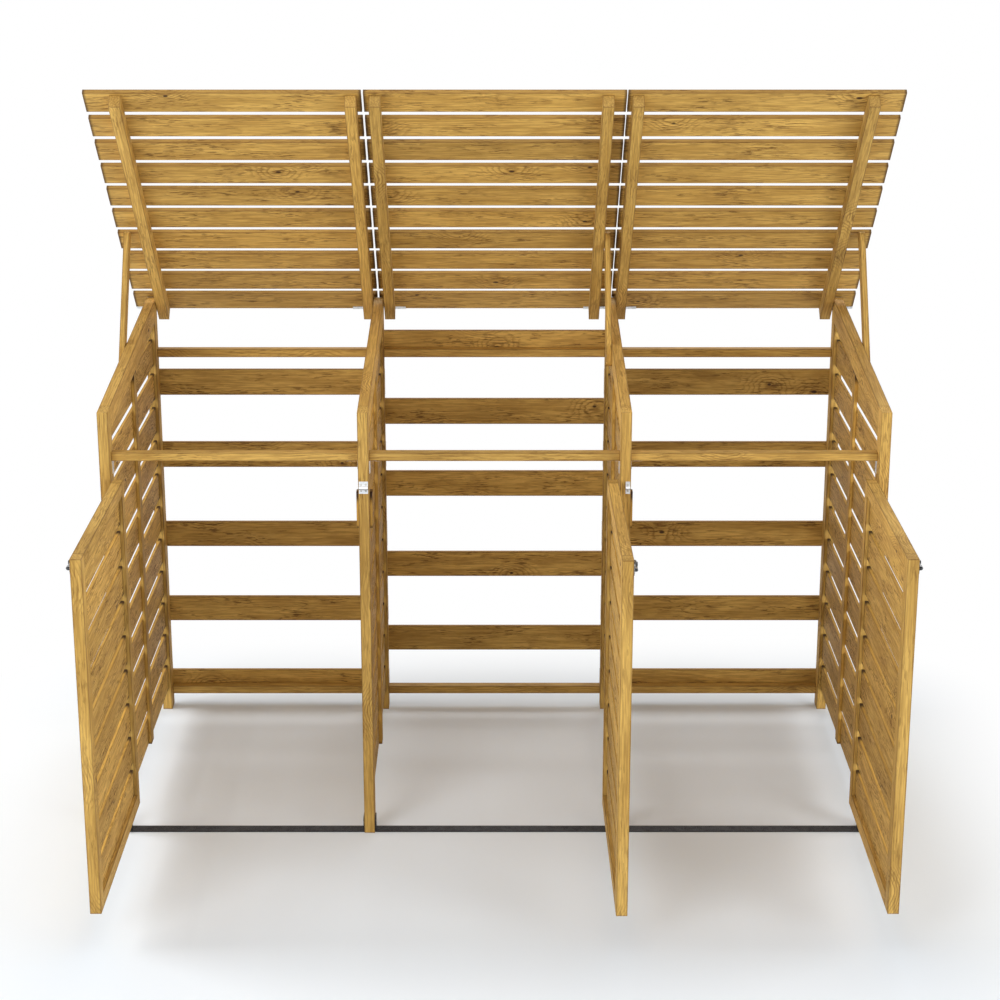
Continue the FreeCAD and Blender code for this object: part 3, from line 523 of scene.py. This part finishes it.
def add_piece(mesh, node):
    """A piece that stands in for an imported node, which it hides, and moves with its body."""
    piece = add_object(mesh.name, mesh)
    piece.modifiers.new("flat faces", "WEIGHTED_NORMAL").keep_sharp = True
    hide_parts(node)
    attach(piece, body_of_node[node])
    return piece


slot_of_node = {part["node"]: part["material_slot"] for part in frame["record"]["subparts"]}
print("slots:", *sorted(set(slot_of_node.values())))

# %% [markdown]
# All the boards of a node become one piece. The marks are kept as attributes of its mesh, where the timber
# reads them.
# %% Build the boards of a node
BOARD_CREASE = 50


def timber_piece(node):
    dice = random.Random(node)
    turn = turn_of(node)
    points, faces, marks = [], [], {"grain": [], "place": [], "half": [], "tone": []}
    for solid in packed_solids(node):
        board = eased_board(solid)
        first = len(points)
        corners = [vertex.co.copy() for vertex in board.verts]
        points += corners
        faces += [[first + vertex.index for vertex in face.verts] for face in board.faces]
        for name, values in board_marks(corners, turn, dice).items():
            marks[name].extend(values)
        board.free()
    mesh = smooth_mesh(node + "_boards", points, faces, BOARD_CREASE, TIMBER)
    for name, values in marks.items():
        single = name == "tone"
        layer = mesh.attributes.new(name, "FLOAT" if single else "FLOAT_VECTOR", "POINT")
        layer.data.foreach_set("value" if single else "vector", np.array(values, np.float32).ravel())
    return add_piece(mesh, node)


timber_nodes = sorted(node for node, slot in slot_of_node.items() if slot == "timber")
boards = [timber_piece(node) for node in timber_nodes]
print(len(boards), "timber pieces with", sum(len(piece.data.polygons) for piece in boards), "faces")

# %% [markdown]
# ## Zinc plated fittings
# Hinges, brackets, bolts and keeps are pressed from steel and plated with zinc, which is bright, slightly
# cloudy and finely scratched. A metal's colour is in its reflections, so the colour stays nearly the same
# all over and mostly the roughness varies.
# %% The zinc finish
CLEAN_ZINC = colour(0.86, 0.87, 0.88)
CLOUDY_ZINC = colour(0.70, 0.71, 0.72)
# Patches of each noise to the metre
CLOUDS = 160.0
SCRATCHES = (900.0, 900.0, 12600.0)
CLOUDED = (0.35, 0.7)
BRIGHT, DULLED_BY_CLOUDS, DULLED_BY_SCRATCHES = 0.24, 0.2, 0.1


def on_object(finish):
    return finish.node("TexCoord", {}, {}, output="Object")


def speckle(finish, where, per_metre, detail=2.0):
    """Noise with so many patches to the metre each way."""
    return finish.noise(finish.stretch(where, per_metre, per_metre, per_metre), detail)


zinc = new_finish("zinc_plate")
on_fitting = on_object(zinc)
cloud = speckle(zinc, on_fitting, CLOUDS, detail=3.0)
scratch = zinc.noise(zinc.stretch(on_fitting, *SCRATCHES))
ZINC = zinc.surface({
    "Base Color": zinc.mix(zinc.step(cloud, *CLOUDED), CLEAN_ZINC, CLOUDY_ZINC),
    "Metallic": 1.0,
    "Roughness": BRIGHT + DULLED_BY_CLOUDS * cloud + DULLED_BY_SCRATCHES * scratch,
    "Normal": zinc.bump(scratch, strength=0.12, depth=0.0002),
})

# %% [markdown]
# The keeps, into which the bolts shoot, are pressed from the same plate. A dark line of painted shadow
# runs along the fold across each, a little below its middle.
# %% The keeps' finish
FOLD_LEVEL = 0.978
# Distances from the fold up to which the painted shadow is full and at which it is gone
FOLD_REACH = (0.0012, 0.0024)
FOLD_STRENGTH = 0.9
# The colour of the painted shadow line
FOLD_SHADOW = colour(0.03, 0.03, 0.04)

keep = new_finish("keep_zinc")
on_keep = on_object(keep)
keep_cloud = speckle(keep, on_keep, CLOUDS, detail=3.0)
height = keep.parts(on_keep)[2]
# A line of painted shadow across the keep, a little below its middle
fold = keep.near(keep.math("ABSOLUTE", height - FOLD_LEVEL), *FOLD_REACH)
clean_keep = keep.mix(keep_cloud, CLEAN_ZINC, CLOUDY_ZINC)
KEEP_METAL = keep.surface({
    "Base Color": keep.mix(fold * FOLD_STRENGTH, clean_keep, FOLD_SHADOW),
    "Metallic": 1.0,
    "Roughness": BRIGHT + DULLED_BY_CLOUDS * keep_cloud,
})

# %% [markdown]
# ## Dark ground strips
# The strips on the ground are plain rolled steel with a dull, almost black skin, rubbed grey in specks.
# %% The dark steel finish
BLACK_SKIN = colour(0.018, 0.018, 0.02)
RUBBED_STEEL = colour(0.13, 0.125, 0.12)
# For the specks and the larger patches: how many to the metre, and the levels between which they come in
SPECKS, SPECKED = 420.0, (0.52, 0.66)
PATCHES, PATCHED = 55.0, (0.35, 0.7)
LEAST_RUBBED, MORE_IN_PATCHES = 0.3, 0.6
DULL, DULLED_BY_PATCHES = 0.5, 0.2

steel = new_finish("dark_steel")
on_strip = on_object(steel)
speck = steel.step(speckle(steel, on_strip, SPECKS, detail=3.0), *SPECKED)
patch = steel.step(speckle(steel, on_strip, PATCHES), *PATCHED)
rubbed = speck * (LEAST_RUBBED + MORE_IN_PATCHES * patch)
DARK_STEEL = steel.surface({
    "Base Color": steel.mix(rubbed, BLACK_SKIN, RUBBED_STEEL),
    "Metallic": 0.55,
    "Roughness": DULL + DULLED_BY_PATCHES * patch,
    "Normal": steel.bump(speck, strength=0.3, depth=0.0003),
})

# %% [markdown]
# ## Bolts
# The bolts are of the same zinc, but grease holds dirt on whatever slides, so they are smudged with grey
# and black all over, and the rod itself is nearly black.
# %% The bolts' finish
SMUDGES, SMUDGED = 130.0, (0.4, 0.62)
GREASY, DULLED_BY_SMUDGES = 0.3, 0.2


def grey(level):
    return colour(level, level, level)


def smudged_metal(name, cleanest, dirtiest):
    metal = new_finish(name)
    smudge = metal.step(speckle(metal, on_object(metal), SMUDGES, detail=3.0), *SMUDGED)
    return metal.surface({
        "Base Color": metal.mix(smudge, grey(cleanest), grey(dirtiest)),
        "Metallic": 0.9,
        "Roughness": GREASY + DULLED_BY_SMUDGES * smudge,
    })


BOLT_METAL = smudged_metal("smudged_zinc", cleanest=0.34, dirtiest=0.04)
ROD_METAL = smudged_metal("greasy_rod", cleanest=0.10, dirtiest=0.015)

# %% [markdown]
# ## Screws
# The screws are plated too, and a little duller than the plates.
# %% The screws' finish
SCREW_BRIGHT = colour(0.66, 0.65, 0.62)
SCREW_TARNISHED = colour(0.44, 0.43, 0.41)
TARNISH = 500.0
SHINY, DULLED_BY_TARNISH = 0.3, 0.25

screw_finish = new_finish("plated_screws")
tarnish = speckle(screw_finish, on_object(screw_finish), TARNISH, detail=3.0)
SCREW_METAL = screw_finish.surface({
    "Base Color": screw_finish.mix(tarnish, SCREW_BRIGHT, SCREW_TARNISHED),
    "Metallic": 1.0,
    "Roughness": SHINY + DULLED_BY_TARNISH * tarnish,
})

# %% [markdown]
# Their heads could stay plain discs, as they are small, but a cross cut in a domed head is what makes them
# screws. It takes five rings of points: the innermost lies at the bottom of the cut, on the next every
# fourth point is sunk to draw the arms, and the others round the head off towards its rim.
# %% Shape of a screw's end
ROUND = 16
ARM_EVERY = 4
# Each ring: its share of the head's radius, and how far below the top it lies, on an arm and off it
HEAD_RINGS = ((0.12, 0.5, 0.5), (0.45, 0.42, 0.03), (0.62, 0.08, 0.08), (0.85, 0.2, 0.2), (1.0, 0.5, 0.5))
HEAD_HEIGHT = 0.0018
FLUSH_HEIGHT = HEAD_HEIGHT / 3


def screw_end(radius, depth):
    """Rings of points from the middle of a crossed head outwards, in its own axes, its top at nothing."""
    rings = []
    for share, on_arm, off_arm in HEAD_RINGS:
        ring = []
        for step in range(ROUND):
            angle = 2 * math.pi * step / ROUND
            drop = on_arm if step % ARM_EVERY == 0 else off_arm
            x, y = math.cos(angle) * radius * share, math.sin(angle) * radius * share
            ring.append(Vector((x, y, -drop * depth)))
        rings.append(ring)
    return rings


print("a head has", ROUND * len(HEAD_RINGS), "points")

# %% [markdown]
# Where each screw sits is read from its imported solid: the direction in which its points spread most is its
# axis, and the end whose points lie further from that axis is the head. If that turns out to be the far
# end, the axis is turned round and measured once more. A screw that lies flush in its plate is as thick at
# both ends, and either may get the cross.
# %% Find a screw's axis
SAME_LEVEL = 1e-5


def screw_place(points):
    """Middle of the head's top, outward axis, length, and the radii at the head and at the tip."""
    spots = np.unique(np.array(points), axis=0)
    middle = (spots.min(axis=0) + spots.max(axis=0)) / 2
    axis = np.linalg.svd(spots - spots.mean(axis=0), full_matrices=False)[2][0]
    for _ in range(2):
        reach = (spots - middle) @ axis
        spread = np.linalg.norm((spots - middle) - np.outer(reach, axis), axis=1)
        head = spread[reach > reach.max() - SAME_LEVEL].max()
        tip = spread[reach < reach.min() + SAME_LEVEL].max()
        if head >= tip:
            break
        axis = -axis
    top = Vector(middle + axis * reach.max())
    return top, Vector(axis), float(reach.max() - reach.min()), float(head), float(tip)


def points_of(solid):
    return [point for corners in solid for point in corners]


first_screw = packed_solids("frame_screws")[0]
print("the first screw is", round(screw_place(points_of(first_screw))[2], 4), "m long")

# %% [markdown]
# The rings of a screw run from the middle of its head over the rim, down to the shank and on to its tip.
# Each ring is joined to the next by a band of faces, and the first and the last are closed.
# %% Join rings of points
def bands(rings, first):
    """Faces between rings whose points are numbered on from first, with both ends closed."""
    faces = []
    for level in range(len(rings) - 1):
        inner, outer = first + level * ROUND, first + (level + 1) * ROUND
        for step in range(ROUND):
            after = (step + 1) % ROUND
            faces.append((inner + step, outer + step, outer + after, inner + after))
    last = first + (len(rings) - 1) * ROUND
    faces.append([first + step for step in range(ROUND)])
    faces.append([last + step for step in reversed(range(ROUND))])
    return faces


print("two rings are joined by", ROUND, "faces")

# %% [markdown]
# A screw whose head is clearly wider than its tip stands proud of the wood, so its domed head gets its full
# height and an upright rim. A flush one only gets the shallow cross.
# %% Build the screws of a node
# How much wider than its tip a head is that stands proud
PROUD = 1.2
SCREW_CREASE = 40


def lowered(ring, level):
    return [Vector((point.x, point.y, level)) for point in ring]


def drawn_in(rim, radius):
    """The rim's ring at the shank's radius, on the rim's level."""
    level = Vector((0, 0, rim[0].z))
    return [Vector((point.x, point.y, 0)).normalized() * radius + level for point in rim]


def screw_piece(node):
    points, faces = [], []
    for solid in packed_solids(node):
        top, axis, length, head, tip = screw_place(points_of(solid))
        stands_proud = head > tip * PROUD
        rings = screw_end(head, HEAD_HEIGHT if stands_proud else FLUSH_HEIGHT)
        if stands_proud:
            rings.append(lowered(rings[-1], -HEAD_HEIGHT))
        rings.append(drawn_in(rings[-1], tip))
        rings.append(lowered(rings[-1], -length))
        upright = Vector((0, 0, 1)).rotation_difference(axis).to_matrix()
        faces += bands(rings, len(points))
        points += [top + upright @ point for ring in rings for point in ring]
    mesh = smooth_mesh(node + "_crossed", points, faces, SCREW_CREASE, SCREW_METAL)
    return add_piece(mesh, node)


screw_nodes = sorted(node for node, slot in slot_of_node.items() if slot == "screws" and "screws" in node)
screws = [screw_piece(node) for node in screw_nodes]
print(len(screws), "pieces of screws")

# %% [markdown]
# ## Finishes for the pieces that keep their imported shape
# The pressed and turned metal is already as it should be, so those nodes stay and only change material.
# %% Put the metal on
METALS = {"zinc": ZINC, "dark_steel": DARK_STEEL, "screws": SCREW_METAL}
OWN_METALS = {"bolt_body": BOLT_METAL, "bolt_rod": ROD_METAL, "keep_plates": KEEP_METAL}


def metal_of(node):
    for part, metal in OWN_METALS.items():
        if node.endswith(part):
            return metal
    return METALS[slot_of_node[node]]


kept = [node for node, slot in slot_of_node.items() if slot != "timber" and node not in screw_nodes]
for node in kept:
    for material_slot in frame["nodes"][node].material_slots:
        material_slot.material = metal_of(node)
print(len(kept), "nodes keep their shape")

# %% [markdown]
# ## A pale studio
# The store stands on a pale floor that fades into white, with a soft shadow under it. The floor's colour
# makes it pale, not extra light. Away from the store it turns into plain white for whoever looks at it
# directly, so that no horizon shows. Honey coloured wood throws warm light on it, so it is a little cool.
# %% The floor's finish
FLOOR_COLOUR = colour(0.83, 0.885, 0.94)
FOOTPRINT_MIDDLE = (0.0, 0.1, 0.0)
HALF_WIDE, HALF_DEEP = 1.02, 0.8
FADE_OVER = 0.6
# Even next to and under the store this share of white glow is mixed in for the camera, which lightens the
# shadow there
LEAST_WHITE = 0.08

ground = new_finish("studio_floor")
on_floor = ground.node("NewGeometry", {}, {}, output="Position")
from_middle = ground.vector_math("ABSOLUTE", ground.vector_math("SUBTRACT", on_floor, FOOTPRINT_MIDDLE))
aside, ahead, _ = ground.parts(from_middle)
past_side = ground.math("MAXIMUM", aside - HALF_WIDE, 0.0)
past_front = ground.math("MAXIMUM", ahead - HALF_DEEP, 0.0)
from_store = ground.math("SQRT", past_side * past_side + past_front * past_front)
fade = LEAST_WHITE + (1 - LEAST_WHITE) * ground.step(from_store, 0.0, FADE_OVER)
painted = ground.node("BsdfDiffuse", {}, {"Color": FLOOR_COLOUR})
glow = ground.node("Emission", {}, {"Color": WHITE, "Strength": 1.0})
looked_at = ground.node("LightPath", {}, {}, output="Is Camera Ray")
floor_look = ground.node("MixShader", {}, {0: fade * looked_at, 1: painted, 2: glow})
ground.node("OutputMaterial", {}, {"Surface": floor_look})
print("the floor fades to white over", FADE_OVER, "m")

# %% [markdown]
# The floor itself is one large square, a fraction of a millimetre below the posts' feet, so that the two
# don't lie in the same plane.
# %% The floor
FLOOR_REACH = 14
FLOOR_LEVEL = -0.0003

floor_mesh = bpy.data.meshes.new("floor")
corners = [(x * FLOOR_REACH, y * FLOOR_REACH, FLOOR_LEVEL) for x, y in ((-1, -1), (1, -1), (1, 1), (-1, 1))]
floor_mesh.from_pydata(corners, [], [(0, 1, 2, 3)])
floor_mesh.materials.append(ground.owner)
floor = add_object("floor", floor_mesh)
print("the floor is", 2 * FLOOR_REACH, "m wide")

# %% [markdown]
# ## Light
# A little light comes from all round, as in a white tent. What looks at the sky directly, or in a mirror,
# sees white.
# %% The surroundings
TENT_LIGHT = 0.19

sky = Finish(bpy.data.worlds.new("white_tent"))
bpy.context.scene.world = sky.owner
ray = sky.node("LightPath", {}, {}, output="Is Camera Ray")
mirrored = sky.math("MAXIMUM", ray.also("Is Glossy Ray"), ray.also("Is Transmission Ray"))
sees_white = sky.math("MAXIMUM", ray, mirrored)
tent = sky.node("Background", {}, {"Color": WHITE, "Strength": TENT_LIGHT})
white = sky.node("Background", {}, {"Color": WHITE, "Strength": 1.0})
sky.node("OutputWorld", {}, {"Surface": sky.node("MixShader", {}, {0: sees_white, 1: tent, 2: white})})
print("tent light", TENT_LIGHT)

# %% [markdown]
# The rest comes from large soft lamps. The strongest ones stand on the left, at the front left and low on
# the right, and reach under the open lids and into the bays. Another strong one stands high behind, and
# weaker ones fill in from the front, the right and above. Each is turned towards the middle of the store.
# %% The lamps
STORE_MIDDLE = Vector((0.0, 0.3, 0.9))
# Each lamp: its place, its width and height, and its power
LAMPS = {
    "low right": ((4.6, -3.4, 1.5), 2.0, 2.0, 136),
    "front left": ((-3.2, -4.4, 2.6), 2.6, 2.2, 128),
    "front": ((0.0, -6.4, 1.6), 4.0, 2.0, 36),
    "front high": ((0.3, -3.6, 5.6), 3.0, 2.0, 15),
    "left": ((-5.0, 0.4, 2.6), 2.6, 2.2, 170),
    "right": ((5.0, 0.4, 2.6), 2.6, 2.2, 64),
    "overhead": ((0.0, 0.0, 5.0), 4.0, 3.0, 55),
    "behind": ((0.5, 4.2, 4.4), 3.0, 2.0, 100),
}
for name, (place, width, height, power) in LAMPS.items():
    lamp = bpy.data.lights.new(name, "AREA")
    lamp.shape = "RECTANGLE"
    lamp.size, lamp.size_y = width, height
    lamp.energy = power
    stand = add_object(name, lamp)
    stand.location = place
    stand.rotation_euler = (STORE_MIDDLE - Vector(place)).to_track_quat("-Z", "Y").to_euler()
bpy.context.scene.view_settings.view_transform = "Standard"
print(len(LAMPS), "lamps are on")
